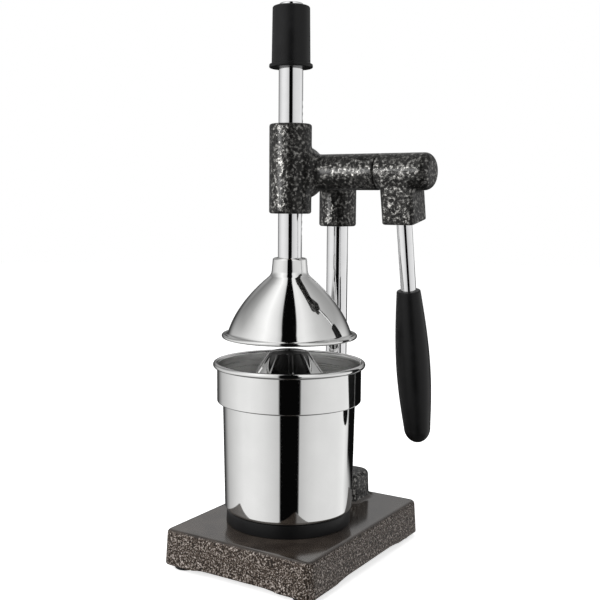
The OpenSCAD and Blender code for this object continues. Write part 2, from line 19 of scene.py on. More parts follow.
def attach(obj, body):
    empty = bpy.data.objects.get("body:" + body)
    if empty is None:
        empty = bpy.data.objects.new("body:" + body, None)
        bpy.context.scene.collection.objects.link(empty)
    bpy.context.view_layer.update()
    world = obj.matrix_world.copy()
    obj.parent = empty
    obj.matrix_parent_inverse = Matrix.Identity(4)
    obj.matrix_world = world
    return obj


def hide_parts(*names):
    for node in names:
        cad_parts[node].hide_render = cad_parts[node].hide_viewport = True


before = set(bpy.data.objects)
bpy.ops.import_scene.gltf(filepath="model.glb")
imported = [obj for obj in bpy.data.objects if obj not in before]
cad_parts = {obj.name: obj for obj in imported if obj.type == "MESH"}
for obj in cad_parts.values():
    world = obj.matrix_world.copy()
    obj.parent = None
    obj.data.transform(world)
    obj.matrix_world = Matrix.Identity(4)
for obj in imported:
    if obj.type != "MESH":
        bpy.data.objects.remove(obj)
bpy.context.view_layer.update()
LOG = logging.getLogger("citrus_press")
MM = 0.001  # metres
CAMERA_TURN = 32.07  # degrees, anticlockwise from looking along +Y
Array = np.ndarray
Field = Callable[[Array, Array, Array], Array]
Surface = tuple[Array, list[list[int]]]
Corner = tuple[float, float, float]
Colour = tuple[float, float, float]
Stops = tuple[tuple[float, float], ...]
Socket = bpy.types.NodeSocket


class Body(Enum):
    """Rigid bodies of the press that a piece can ride on."""

    FRAME = "frame"
    LEVER = "lever"
    RAM = "ram"
    CUP = "cup"


class Slot(Enum):
    """Material slots of the record."""

    BASE = "hammertone_base"
    HEAD = "hammertone_head"
    CHROME = "chrome"
    STAINLESS = "stainless"
    RUBBER = "rubber"
    STEEL = "steel"
    BLACK_STEEL = "black_steel"
    BRONZE = "bronze"
    NYLON = "nylon"


# ---------------------------------------------------------------------------
# Surfaces
# ---------------------------------------------------------------------------


def filleted(corners: list[Corner], steps: int = 6) -> Array:
    """Outline through corner points, with an arc in place of each corner that has a radius.

    The arc touches both sides of its corner at radius / tan(half the corner's angle) from it, or
    at 0.49 of the shorter side if that is less, and its points turn evenly from one touching
    point to the other about the arc's centre. A corner within 0.02 radians of straight has none.

    Args:
        corners: (r, z, fillet radius) of each corner, in order.
        steps: Number of chords in an arc.

    Returns:
        Points (r, z) of the outline.
    """
    straight, share = math.pi - 0.02, 0.49
    pts = np.array([c[:2] for c in corners], float)
    out = [pts[:1]]
    for p, q, n, (_, _, radius) in zip(pts, pts[1:], pts[2:], corners[1:]):
        a, b = p - q, n - q
        la, lb = np.linalg.norm(a), np.linalg.norm(b)
        a, b = a / (la or 1), b / (lb or 1)
        angle = math.acos(float(np.clip(a @ b, -1, 1)))
        if radius <= 0 or la == 0 or lb == 0 or angle > straight:
            out.append(q[None])
            continue
        reach = min(radius / math.tan(angle / 2), share * la, share * lb)
        radius = reach * math.tan(angle / 2)
        centre = q + (a + b) / np.linalg.norm(a + b) * radius / math.sin(angle / 2)
        w0, w1, turn = q + a * reach - centre, q + b * reach - centre, math.pi - angle
        s = np.linspace(0, 1, steps + 1)[:, None]
        out.append(centre + (np.sin((1 - s) * turn) * w0 + np.sin(s * turn) * w1) / math.sin(turn))
    out.append(pts[-1:])
    return np.concatenate(out)


def arc(centre: tuple[float, float], radius: float, start: float, end: float, steps: int) -> Array:
    """Points (r, z) on a circle, from angle start to angle end in degrees, at even turns."""
    t = np.radians(np.linspace(start, end, steps + 1))
    return np.stack([centre[0] + radius * np.cos(t), centre[1] + radius * np.sin(t)], 1)


def anticlockwise(outline: Array) -> Array:
    """The outline, reversed where needed so that its inside lies to the left of its direction."""
    r, z = outline.T
    area = np.sum(r * np.roll(z, -1) - np.roll(r, -1) * z)
    return outline if area > 0 else outline[::-1]


def turned(outline: Array, segments: int = 192) -> Surface:
    """Surface of revolution about +Z: (r, z) at angle t goes to (r cos t, r sin t, z).

    An outline that starts and ends on the axis becomes a solid with two poles, and any other
    outline becomes a closed ring.

    Args:
        outline: (r, z) points in order round the section.
        segments: Number of steps round the axis.

    Returns:
        Points and faces, which point outwards.
    """
    outline = anticlockwise(np.asarray(outline, float))
    solid = outline[0, 0] < 1e-6 and outline[-1, 0] < 1e-6
    rows = outline[1:-1] if solid else outline
    t = np.linspace(0, 2 * np.pi, segments, endpoint=False)
    r, z = rows[:, :1], rows[:, 1:]
    pts = np.stack([r * np.cos(t), r * np.sin(t), z + 0 * t], -1).reshape(-1, 3)
    count = len(rows)
    i = np.arange(count if not solid else count - 1)[:, None]
    j = np.arange(segments)[None, :]
    k, m = (i + 1) % count, (j + 1) % segments
    quads = np.stack([i * segments + j, i * segments + m, k * segments + m, k * segments + j], -1)
    faces = quads.reshape(-1, 4).tolist()
    if solid:
        pts = np.concatenate([pts, [[0, 0, outline[0, 1]], [0, 0, outline[-1, 1]]]])
        low, high, j, m = len(pts) - 2, len(pts) - 1, j[0], m[0]
        top = (count - 1) * segments
        faces += np.stack([m, j, low + 0 * j], 1).tolist()
        faces += np.stack([top + j, top + m, high + 0 * j], 1).tolist()
    return pts, faces


def joined(parts: list[Surface]) -> Surface:
    """Several surfaces as one: their points in a row, and faces counted on from each other."""
    pts, faces, start = [], [], 0
    for p, f in parts:
        pts.append(p)
        faces += [[v + start for v in face] for face in f]
        start += len(p)
    return np.concatenate(pts), faces


def shifted(surface: Surface, x: float = 0, y: float = 0, z: float = 0) -> Surface:
    """The surface moved by (x, y, z)."""
    return surface[0] + np.array([x, y, z]), surface[1]


# Fields: each gives about the distance to a form's surface, below zero inside it.


def union(a: Array, b: Array, r: float = 0.0) -> Array:
    """Union of two fields, with a hollow fillet of radius r where their surfaces cross.

    Where both distances are under r, the field is r less the length of (r - a, r - b).
    """
    if r <= 0:
        return np.minimum(a, b)
    u, v = np.maximum(r - a, 0), np.maximum(r - b, 0)
    return np.maximum(r, np.minimum(a, b)) - np.hypot(u, v)


def common(a: Array, b: Array, r: float = 0.0) -> Array:
    """Intersection of two fields, with a round edge of radius r: union's formula turned over."""
    return -union(-a, -b, r)


def without(a: Array, b: Array, r: float = 0.0) -> Array:
    """Field a with b cut out of it, and a round edge of radius r at the cut."""
    return common(a, -b, r)


def cut(body: Array, holes: list[tuple[Array, float]]) -> Array:
    """The body less each hole in turn; a hole comes with the radius of its round edge."""
    for hole, edge in holes:
        body = without(body, hole, edge)
    return body


def span(v: Array, low: float, high: float) -> Array:
    """Distance outside the range low..high: that from its middle, less half its length."""
    return np.abs(v - (low + high) / 2) - (high - low) / 2


def rect_field(x: Array, y: Array, half_x: float, half_y: float, r: float) -> Array:
    """Distance in plan to a rectangle of the given half sides and corner radius.

    The length of the part of (|x|, |y|) beyond the sides drawn in by r, less r.
    """
    u, v = np.abs(x) - half_x + r, np.abs(y) - half_y + r
    return np.hypot(np.maximum(u, 0), np.maximum(v, 0)) + np.minimum(np.maximum(u, v), 0) - r


def surface_net(field: Field, low: tuple, high: tuple, step: float) -> Surface:
    """Closed mesh of the surface where a field is zero, on a grid of cells.

    Each cell that the surface crosses gets a point at the mean of its edges' crossings, and four
    cells round a crossed grid edge share a face. The points then move along the field's slope by
    value / slope, a few times and by at most 0.6 of a cell along each axis, which puts them on it.

    Args:
        field: Field of (x, y, z) in millimetres.
        low: Lowest corner of the grid.
        high: Highest corner of the grid.
        step: Side of a cell.

    Returns:
        Points and faces, which point outwards.
    """
    axes = [np.arange(a, b + step, step) for a, b in zip(low, high)]
    values = field(*np.meshgrid(*axes, indexing="ij", sparse=True))
    inside = values < 0
    corners = [(i, j, k) for i in (0, 1) for j in (0, 1) for k in (0, 1)]
    shape = tuple(n - 1 for n in values.shape)
    count = sum(inside[i : i + shape[0], j : j + shape[1], k : k + shape[2]].astype(np.int8)
                for i, j, k in corners)
    cells = np.argwhere((count > 0) & (count < 8))
    number = -np.ones(shape, np.int64)
    number[tuple(cells.T)] = np.arange(len(cells))
    total, hits = np.zeros((len(cells), 3)), np.zeros((len(cells), 1))
    for c in corners:
        for axis in range(3):
            if c[axis]:
                continue
            d = np.array(c)
            e = d.copy()
            e[axis] = 1
            va, vb = values[tuple((cells + d).T)], values[tuple((cells + e).T)]
            crossed = (va < 0) != (vb < 0)
            t = np.where(crossed, va / np.where(crossed, va - vb, 1), 0)
            at = d + 0.0 * cells
            at[:, axis] = t
            total += at * crossed[:, None]
            hits += crossed[:, None]
    pts = (cells + total / hits) * step + np.array(low)
    faces = []
    for axis in range(3):
        u, v = (axis + 1) % 3, (axis + 2) % 3
        first = [slice(None)] * 3
        second = [slice(None)] * 3
        first[axis], second[axis] = slice(None, -1), slice(1, None)
        cross = inside[tuple(first)] != inside[tuple(second)]
        at = np.argwhere(cross)
        at = at[(at[:, u] > 0) & (at[:, v] > 0) & (at[:, u] < shape[u]) & (at[:, v] < shape[v])]
        du, dv = np.eye(3, dtype=int)[u], np.eye(3, dtype=int)[v]
        quad = np.stack([number[tuple((at - du * a - dv * b).T)]
                         for a, b in ((1, 1), (0, 1), (0, 0), (1, 0))], 1)
        out = inside[tuple(at.T)]
        faces.append(np.where(out[:, None], quad, quad[:, ::-1]))
    probe, reach, rounds, least = 0.02 * step, 0.6 * step, 4, 0.25
    for _ in range(rounds):
        x, y, z = pts.T
        f = field(x, y, z)
        ahead = field(x + probe, y, z), field(x, y + probe, z), field(x, y, z + probe)
        slope = np.stack([value - f for value in ahead], 1) / probe
        move = slope * (f / np.maximum((slope * slope).sum(1), least))[:, None]
        pts = pts - np.clip(move, -reach, reach)
    return pts, np.concatenate(faces).tolist()


# ---------------------------------------------------------------------------
# Pieces
# ---------------------------------------------------------------------------


def new_object(name: str, data: bpy.types.ID) -> bpy.types.Object:
    """Adds an object that shows the given data to the scene."""
    made = bpy.data.objects.new(name, data)
    bpy.context.scene.collection.objects.link(made)
    return made


def add_piece(node: str, surface: Surface, body: Body, slot: Slot, finishes: "Finishes",
              sharp: float = 38.0) -> bpy.types.Object:
    """Puts a computed surface into the scene as a finished piece that stands for a CAD node.

    Args:
        node: CAD node that the piece replaces; the piece is named after it.
        surface: Points in millimetres, and faces.
        body: Body that the piece rides on.
        slot: Material slot of the record that it takes its finish from.
        finishes: Finishes by slot.
        sharp: Angle in degrees past which an edge isn't shaded smooth.

    Returns:
        The piece, at the origin, with its place in its mesh.
    """
    pts, faces = surface
    mesh = bpy.data.meshes.new(node + "_skin")
    mesh.from_pydata((pts * MM).tolist(), [], faces)
    mesh.validate()
    mesh.shade_smooth()
    mesh.set_sharp_from_angle(angle=math.radians(sharp))
    mesh.materials.append(finishes[slot])
    piece = new_object(mesh.name, mesh)
    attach(piece, body.value)
    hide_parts(node)
    LOG.info("%s: %d points, %d faces, on %s", piece.name, len(pts), len(faces), body.value)
    return piece


def face_values(piece: bpy.types.Object, key: str) -> Array:
    """A vector of each of the piece's faces, such as its "center" or "normal"."""
    values = np.empty(len(piece.data.polygons) * 3)
    piece.data.polygons.foreach_get(key, values)
    return values.reshape(-1, 3)


def inner_faces(piece: bpy.types.Object, opens: int, reach: float) -> Array:
    """Finds the inner faces of a sheet piece that is turned about the world's Z axis.

    A face is inside where its normal's share along the way out from the axis is below -0.05, or
    its share along the opening is over 0.3, if it is nearer to the axis than `reach`.

    Args:
        piece: Turned piece.
        opens: 1 where it opens upwards, and -1 where it opens downwards.
        reach: Radius of the inside in millimetres.

    Returns:
        True for each inner face.
    """
    middle, normal = face_values(piece, "center") / MM, face_values(piece, "normal")
    r = np.hypot(middle[:, 0], middle[:, 1])
    out = (normal[:, :2] * middle[:, :2]).sum(1) / np.maximum(r, 1e-6)
    return (r < reach) & ((out < -0.05) | (normal[:, 2] * opens > 0.3))


def dress(piece: bpy.types.Object, material: bpy.types.Material, chosen: Array) -> None:
    """Gives another finish to the chosen faces of a piece."""
    piece.data.materials.append(material)
    piece.data.polygons.foreach_set("material_index", chosen.astype(np.int32))
    LOG.info("%s: %d faces in %s", piece.name, int(chosen.sum()), material.name)


# ---------------------------------------------------------------------------
# Finishes
# ---------------------------------------------------------------------------


class Graph:
    """Writes nodes into a node tree; where a node takes a value, a socket or a constant fits."""

    MIX_SOCKETS = {"FLOAT": (2, 3, 0), "VECTOR": (4, 5, 1), "RGBA": (6, 7, 2)}

    def __init__(self, tree: bpy.types.NodeTree, coordinates: str) -> None:
        """Clears the tree, and starts from the named texture coordinates."""
        self.tree = tree
        tree.nodes.clear()
        self.coords = self.node("TexCoord").outputs[coordinates]

    def feed(self, node: bpy.types.Node, inputs: dict) -> None:
        """Links or sets a node's inputs, and leaves out those that are None."""
        for key, value in inputs.items():
            if isinstance(value, Socket):
                self.tree.links.new(value, node.inputs[key])
            elif value is not None:
                node.inputs[key].default_value = value

    def node(self, kind: str, inputs: dict | None = None, **settings: object) -> bpy.types.Node:
        """Adds a node.

        Args:
            kind: Type of node, without its prefix.
            inputs: Value of each input, by its name or number.
            settings: The node's own settings.

        Returns:
            The node.
        """
        made = self.tree.nodes.new("ShaderNode" + kind)
        for key, value in settings.items():
            setattr(made, key, value)
        self.feed(made, inputs or {})
        return made

    def noise(self, scale: float, detail: float = 2.0, rough: float = 0.5,
              stretch: tuple[float, float, float] | None = None) -> Socket:
        """Value of a noise pattern with about `scale` lumps a metre, times an axis's stretch."""
        place = self.coords
        if stretch:
            place = self.node("Mapping", {"Vector": place, "Scale": stretch}).outputs[0]
        return self.node("TexNoise", {"Vector": place, "Scale": scale, "Detail": detail,
                                      "Roughness": rough}).outputs["Fac"]

    def ramp(self, source: Socket, *stops: tuple[float, Colour]) -> Socket:
        """Colour that follows a value through the given stops."""
        node = self.node("ValToRGB", {"Fac": source})
        elements = node.color_ramp.elements
        while len(elements) < len(stops):
            elements.new(1.0)
        for element, (place, colour) in zip(elements, stops):
            element.position, element.color = place, (*colour, 1.0)
        return node.outputs["Color"]

    def between(self, source: Socket, low: float, high: float, to_low: float = 0.0,
                to_high: float = 1.0, curve: str = "LINEAR") -> Socket:
        """Value carried from the range low..high to to_low..to_high, and held at its ends."""
        ends = {"From Min": low, "From Max": high, "To Min": to_low, "To Max": to_high}
        return self.node("MapRange", {"Value": source, **ends},
                         interpolation_type=curve).outputs["Result"]

    def mix(self, factor: Socket, a: Socket, b: Socket | tuple, kind: str = "RGBA") -> Socket:
        """Colour, vector or number: a where the factor is 0, and b where it is 1."""
        at_a, at_b, result = self.MIX_SOCKETS[kind]
        return self.node("Mix", {0: factor, at_a: a, at_b: b}, data_type=kind).outputs[result]

    def bump(self, height: Socket, depth: float, strength: float = 1.0,
             below: Socket | None = None) -> Socket:
        """Normal of a relief whose full height is `depth` metres, on top of another if given."""
        return self.node("Bump", {"Strength": strength, "Distance": depth, "Height": height,
                                  "Normal": below}).outputs["Normal"]

    def calc(self, kind: str, *values: Socket | float) -> Socket:
        """Result of a math node of that kind."""
        return self.node("Math", dict(enumerate(values)), operation=kind).outputs[0]


class Paint(Graph):
    """Nodes of a material that reads Object coordinates, with the shader already in place."""

    def __init__(self, name: str) -> None:
        """Starts a material of that name."""
        self.material = bpy.data.materials.new(name)
        self.material.use_nodes = True
        super().__init__(self.material.node_tree, "Object")
        self.shader = self.node("BsdfPrincipled")
        self.node("OutputMaterial", {"Surface": self.shader.outputs[0]})

    def done(self, **inputs: object) -> bpy.types.Material:
        """Finishes the material.

        Args:
            inputs: Value of each of the shader's inputs, with underscores for spaces.

        Returns:
            The material.
        """
        self.feed(self.shader, {key.replace("_", " "): value for key, value in inputs.items()})
        return self.material


def shaded(colour: Colour, share: float) -> Colour:
    """The colour times a share."""
    return tuple(c * share for c in colour)


@dataclass(frozen=True)
class Hammertone:
    """Hammertone enamel: dark paint with pale metallic flecks over shallow dimples, and painted
    shade in the dimples' hollows, where the flecks give way to a darker tone.
    """

    name: str = "head_enamel"
    dark: Colour = (0.002, 0.002, 0.002)
    middle: Colour = (0.035, 0.034, 0.032)
    pale: Colour = (0.44, 0.43, 0.41)
    dimples: float = 400.0
    flecks: float = 470.0
    relief: float = 0.0010
    rough: float = 0.36

    def material(self) -> bpy.types.Material:
        """Builds the finish, glossy over its flecks."""
        n = Paint(self.name)
        dimple = n.noise(self.dimples, 2.0, 0.55)
        fleck = n.noise(self.flecks, 2.0, 0.6)
        paint = n.ramp(fleck, (0.0, self.dark), (0.34, self.dark), (0.5, self.middle),
                       (0.7, self.pale), (1.0, self.pale))
        drift_and_hollow_shade = n.ramp(n.noise(120.0), (0.35, self.dark), (0.8, self.middle))
        relief = n.bump(dimple, self.relief, 0.9)
        # The dimples' hollows take mostly the darker drift tone without pale flecks: painted shade
        # in the hollows.
        return n.done(Base_Color=n.mix(n.between(dimple, 0.36, 0.6, 0.2, 1.0), drift_and_hollow_shade, paint),
                      Metallic=n.between(fleck, 0.38, 0.54, 0.6, 1.0),
                      Roughness=n.between(fleck, 0.4, 0.7, self.rough, self.rough + 0.1),
                      Normal=n.bump(fleck, self.relief * 0.4, 0.8, relief),
                      Coat_Weight=0.2, Coat_Roughness=0.2, Specular_IOR_Level=0.2)


@dataclass(frozen=True)
class BaseEnamel:
    """Enamel of the base: speckled on its cast sides, flowed out smooth and glossy on its top."""

    name: str = "base_enamel"
    dark: Colour = (0.012, 0.0085, 0.0065)
    middle: Colour = (0.085, 0.062, 0.046)
    pale: Colour = (0.64, 0.58, 0.54)
    top: Colour = (0.062, 0.050, 0.041)
    top_dark: Colour = (0.022, 0.017, 0.014)
    edge_z: float = 0.0262

    def material(self) -> bpy.types.Material:
        """Builds the finish; the height above the floor parts the top from the sides."""
        n = Paint(self.name)
        dimple = n.noise(380.0, 2.0, 0.55)
        fleck = n.noise(950.0, 3.0, 0.7)
        side = n.ramp(fleck, (0.0, self.dark), (0.44, self.dark), (0.54, self.middle),
                      (0.67, self.pale), (1.0, self.pale))
        calm = n.ramp(n.noise(60.0, 3.0), (0.3, self.top_dark), (0.7, self.top))
        height = n.node("SeparateXYZ", {0: n.coords}).outputs["Z"]
        on_top = n.between(height, self.edge_z - 0.0006, self.edge_z + 0.0004)
        rough = n.mix(on_top, n.between(fleck, 0.4, 0.7, 0.34, 0.5),
                      n.between(dimple, 0.3, 0.7, 0.14, 0.2), "FLOAT")
        relief = n.mix(on_top, n.bump(dimple, 0.0009, 0.7), n.bump(n.noise(110.0), 0.0003, 0.2),
                       "VECTOR")
        sheen = n.between(on_top, 0, 1, 0.12, 0.5)
        return n.done(Base_Color=n.mix(on_top, side, calm), Roughness=rough, Normal=relief,
                      Coat_Weight=sheen, Specular_IOR_Level=sheen, Metallic=0.1,
                      Coat_Roughness=0.1)


@dataclass(frozen=True)
class Chrome:
    """Mirror plating, with the faint waves of a polished bar under it."""

    name: str = "chrome_plate"
    colour: Colour = (0.92, 0.92, 0.925)

    def material(self) -> bpy.types.Material:
        """Builds the finish."""
        n = Paint(self.name)
        haze = n.ramp(n.noise(140.0, 3.0), (0.3, self.colour), (0.8, shaded(self.colour, 0.95)))
        return n.done(Base_Color=haze, Roughness=n.between(n.noise(900.0), 0.3, 0.8, 0.045, 0.09),
                      Normal=n.bump(n.noise(55.0, 1.0), 0.0002, 0.12), Metallic=1.0)


@dataclass(frozen=True)
class PolishedSheet:
    """Polished stainless sheet, with hair-fine lines that run round the piece."""

    name: str = "polished_stainless"
    colour: Colour = (0.90, 0.90, 0.89)
    lines: float = 2600.0
    rough: float = 0.035
    wave: float = 0.06

    def material(self) -> bpy.types.Material:
        """Builds the finish; the lines follow height, so they run round a turned piece."""
        n = Paint(self.name)
        line = n.noise(1.0, 2.0, 0.6, (12.0, 12.0, self.lines))
        smear = n.ramp(n.noise(45.0, 3.0), (0.3, self.colour), (0.75, shaded(self.colour, 0.94)))
        waves = n.bump(n.noise(30.0, 1.0), 0.0003, self.wave)
        return n.done(Base_Color=smear, Normal=n.bump(line, 0.00002, 0.12, waves), Metallic=1.0,
                      Roughness=n.between(line, 0.25, 0.75, self.rough, self.rough * 1.9))


@dataclass(frozen=True)
class SatinRubber:
    """Moulded black rubber with a satin skin and a very fine grain."""

    name: str = "satin_rubber"
    dark: Colour = (0.0035, 0.0035, 0.0038)
    worn: Colour = (0.008, 0.008, 0.0085)
    rough: float = 0.33

    def material(self) -> bpy.types.Material:
        """Builds the finish."""
        n = Paint(self.name)
        rub = n.noise(70.0, 4.0, 0.6)
        return n.done(Base_Color=n.ramp(rub, (0.35, self.dark), (0.8, self.worn)),
                      Roughness=n.between(rub, 0.3, 0.75, self.rough, self.rough + 0.12),
                      Normal=n.bump(n.noise(2600.0), 0.00005, 0.35), Specular_IOR_Level=0.26)


@dataclass(frozen=True)
class PlainMetal:
    """Machined, plated or moulded stock of the small hidden pieces."""

    name: str
    colour: Colour
    shade: Colour
    rough: float = 0.3
    grain: float = 1500.0
    metal: float = 1.0

    def material(self) -> bpy.types.Material:
        """Builds the finish, with tool marks as fine bands and a patchy shade."""
        n = Paint(self.name)
        patch = n.ramp(n.noise(220.0, 3.0), (0.3, self.shade), (0.7, self.colour))
        mark = n.noise(self.grain, 2.0, 0.6)
        return n.done(Base_Color=patch, Normal=n.bump(mark, 0.00003, 0.3), Metallic=self.metal,
                      Roughness=n.between(mark, 0.3, 0.7, self.rough, self.rough + 0.15))


class Finishes:
    """All finishes of the press: one for each material slot, and two for sheet insides, of which
    the bell's is a darkened copy of the polished sheet that paints the shade under the bell.
    """

    def __init__(self) -> None:
        """Builds every material."""
        makers = {
            Slot.BASE: BaseEnamel(),
            Slot.HEAD: Hammertone(),
            Slot.CHROME: Chrome(),
            Slot.STAINLESS: PolishedSheet(),
            Slot.RUBBER: SatinRubber(),
            Slot.STEEL: PlainMetal("machined_steel", (0.60, 0.60, 0.62), (0.46, 0.46, 0.48)),
            Slot.BLACK_STEEL: PlainMetal("black_oxide_steel", (0.05, 0.05, 0.052),
                                         (0.025, 0.025, 0.027), 0.35),
            Slot.BRONZE: PlainMetal("sintered_bronze", (0.66, 0.47, 0.22), (0.50, 0.34, 0.15),
                                    0.38, 2200.0),
            Slot.NYLON: PlainMetal("natural_nylon", (0.80, 0.77, 0.68), (0.72, 0.69, 0.60), 0.42,
                                   900.0, 0.0),
        }
        self.made = {slot: maker.material() for slot, maker in makers.items()}
        # The bell's inside is the polished sheet at about a fifth of its brightness: painted shade
        # under the bell.
        bell = PolishedSheet("bell_inside", (0.20, 0.20, 0.20), 1400.0, 0.24)
        cup = PolishedSheet("cup_inside", (0.95, 0.95, 0.94), 1400.0, 0.2, 0.7)
        self.bell_inside, self.cup_inside = bell.material(), cup.material()

    def __getitem__(self, slot: Slot) -> bpy.types.Material:
        """The material of a slot."""
        return self.made[slot]


# ---------------------------------------------------------------------------
# Sub-assemblies, in millimetres
# ---------------------------------------------------------------------------


@dataclass
class Layout:
    """Sizes that more than one sub-assembly needs."""

    column_y: float = 63.3
    column_r: float = 7.6
    column_floor: float = 16.5
    bolt_r: float = 4.0
    axis_y: float = 15.0
    axis_z: float = 262.6
    tube_r: float = 11.8
    grub_r: float = 2.5
    fit: float = 0.02


@dataclass
class BaseUnit(Layout):
    """Cast base on rubber feet, with the cup's pad and seat ring and the column's boss."""

    width: float = 113.0
    length: float = 149.0
    front: float = 63.5
    foot_h: float = 3.5
    top: float = 27.0
    top_edge: float = 2.5
    draft: float = 1.5
    corner: float = 5.0
    wall: float = 6.0
    plate: float = 20.0
    pad_r: float = 25.0
    pad_h: float = 4.0
    seat_r: float = 42.4
    seat_h: float = 9.0
    boss_w: float = 46.0
    boss_l: float = 33.0
    boss_h: float = 19.5
    boss_corner: float = 10.0
    boss_edge: float = 3.0
    boss_draft: float = 0.8
    boss_fillet: float = 4.0
    sunk: float = 3.0
    bolt_face: float = 10.5
    bolt_gap: float = 0.3
    bolt_wall: float = 8.0
    foot_r: float = 7.5
    foot_inset: float = 10.0
    screw_r: float = 2.0
    screw_depth: float = 10.0
    arch: float = 1.4
    arch_end: float = 0.4
    arch_fade: float = 0.25
    # Height above which the boss takes the head's black enamel, which paints the dark reflection on
    # the boss.
    dark_boss_from_z: float = 28.6
    cell: float = 1.0

    def feet(self) -> list[tuple[float, float]]:
        """Plan places of the four feet."""
        x = self.width / 2 - self.foot_inset
        ys = (self.foot_inset - self.front, self.length - self.front - self.foot_inset)
        return [(sx * x, y) for sx in (-1, 1) for y in ys]

    def casting_field(self, x: Array, y: Array, z: Array) -> Array:
        """Field of the casting: drafted slab, pad and boss with fillets, less pocket and bores.

        The arch under the slab fades out at the corners, where |x| |y| over the two half sides
        goes from arch_end to arch_end + arch_fade.
        """
        mid = self.length / 2 - self.front
        half_x, half_y = self.width / 2, self.length / 2
        over_top, into_top = z - self.top, self.top - self.sunk - z
        rise = (z - self.foot_h) / (self.top - self.foot_h)
        slab = rect_field(x, y - mid, half_x, half_y, self.corner) - self.draft * (1 - rise)
        slab = common(slab, over_top, self.top_edge)
        near = np.abs(x) / half_x * np.abs(y - mid) / half_y
        near = np.clip((near - self.arch_end) / self.arch_fade, 0, 1)
        under = self.foot_h + self.arch * (1 - near * near * (3 - 2 * near)) - z
        slab = common(slab, under, 1.0)
        boss = rect_field(x, y - self.column_y, self.boss_w / 2, self.boss_l / 2, self.boss_corner)
        boss = boss - self.boss_draft * (1 - over_top / self.boss_h)
        boss = common(common(boss, over_top - self.boss_h, self.boss_edge), into_top)
        body = union(slab, boss, self.boss_fillet)
        pad = common(np.hypot(x, y) - self.pad_r, over_top - self.pad_h, 0.8)
        body = union(body, common(pad, into_top), 0.6)
        pocket = rect_field(x, y - mid, half_x - self.wall, half_y - self.wall, self.corner - 2)
        pocket = common(pocket, z - self.plate, 2.0)
        holes = []
        for fx, fy in self.feet():
            post = np.hypot(x - fx, y - fy)
            pocket = without(pocket, post - self.foot_r - 0.5, 1.0)
            holes.append((common(post - self.screw_r, z - self.foot_h - self.screw_depth), 0.0))
        column = np.hypot(x, y - self.column_y)
        nut_boss = common(column - self.column_r - self.bolt_wall, self.bolt_face - z, 0.6)
        holes = [
            (without(pocket, nut_boss, 1.0), 0.8),
            (common(column - self.column_r - self.fit, self.column_floor - z), 0.8),
            (common(column - self.bolt_r - self.bolt_gap, z - self.column_floor - 1), 0.0),
            (common(column - self.bolt_r * 2.2, z - self.bolt_face), 0.0),
        ] + holes
        return cut(body, holes)

    def casting(self) -> Surface:
        """Mesh of the casting."""
        room = 1.5
        side = self.width / 2 + self.draft + room
        low = (-side, -self.front - self.draft - room, self.foot_h - room)
        high = (side, self.length - self.front + self.draft + room, self.top + self.boss_h + room)
        return surface_net(self.casting_field, low, high, self.cell)

    def rubber_feet(self) -> Surface:
        """Four turned feet, each a ring round its screw, whose head is sunk in from below."""
        r, h, hole = self.foot_r, self.foot_h, self.screw_r + 0.1
        head_r, ledge = self.screw_r * 1.8 + 0.3, self.foot_h - 1.7
        outline = filleted([(hole, ledge, 0), (head_r, ledge, 0), (head_r, 0, 0.3), (r, 0, 0.7),
                            (r, h, 0.5), (hole, h, 0)])
        foot = turned(outline, 64)
        return joined([shifted(foot, x, y) for x, y in self.feet()])

    def seat_ring(self) -> Surface:
        """Turned rubber ring that the cup stands on."""
        r, h, z, hole = self.seat_r, self.seat_h, self.top, self.pad_r + self.fit
        return turned(filleted([(self.pad_r + 0.3, z, 0), (r, z, 0.4), (r - 0.5, z + h, 0.9),
                                (hole, z + h, 0.5), (hole, z, 0)]))

    def build(self, finishes: Finishes) -> None:
        """Builds and dresses the sub-assembly."""
        base = add_piece("base_casting", self.casting(), Body.FRAME, Slot.BASE, finishes, sharp=50)
        # The boss's faces above this height take the darker head enamel: a painted dark reflection
        # on the boss.
        upper = face_values(base, "center")[:, 2] > self.dark_boss_from_z * MM
        dress(base, finishes[Slot.HEAD], upper)
        add_piece("rubber_feet", self.rubber_feet(), Body.FRAME, Slot.RUBBER, finishes)
        add_piece("cup_seat_ring", self.seat_ring(), Body.FRAME, Slot.RUBBER, finishes)


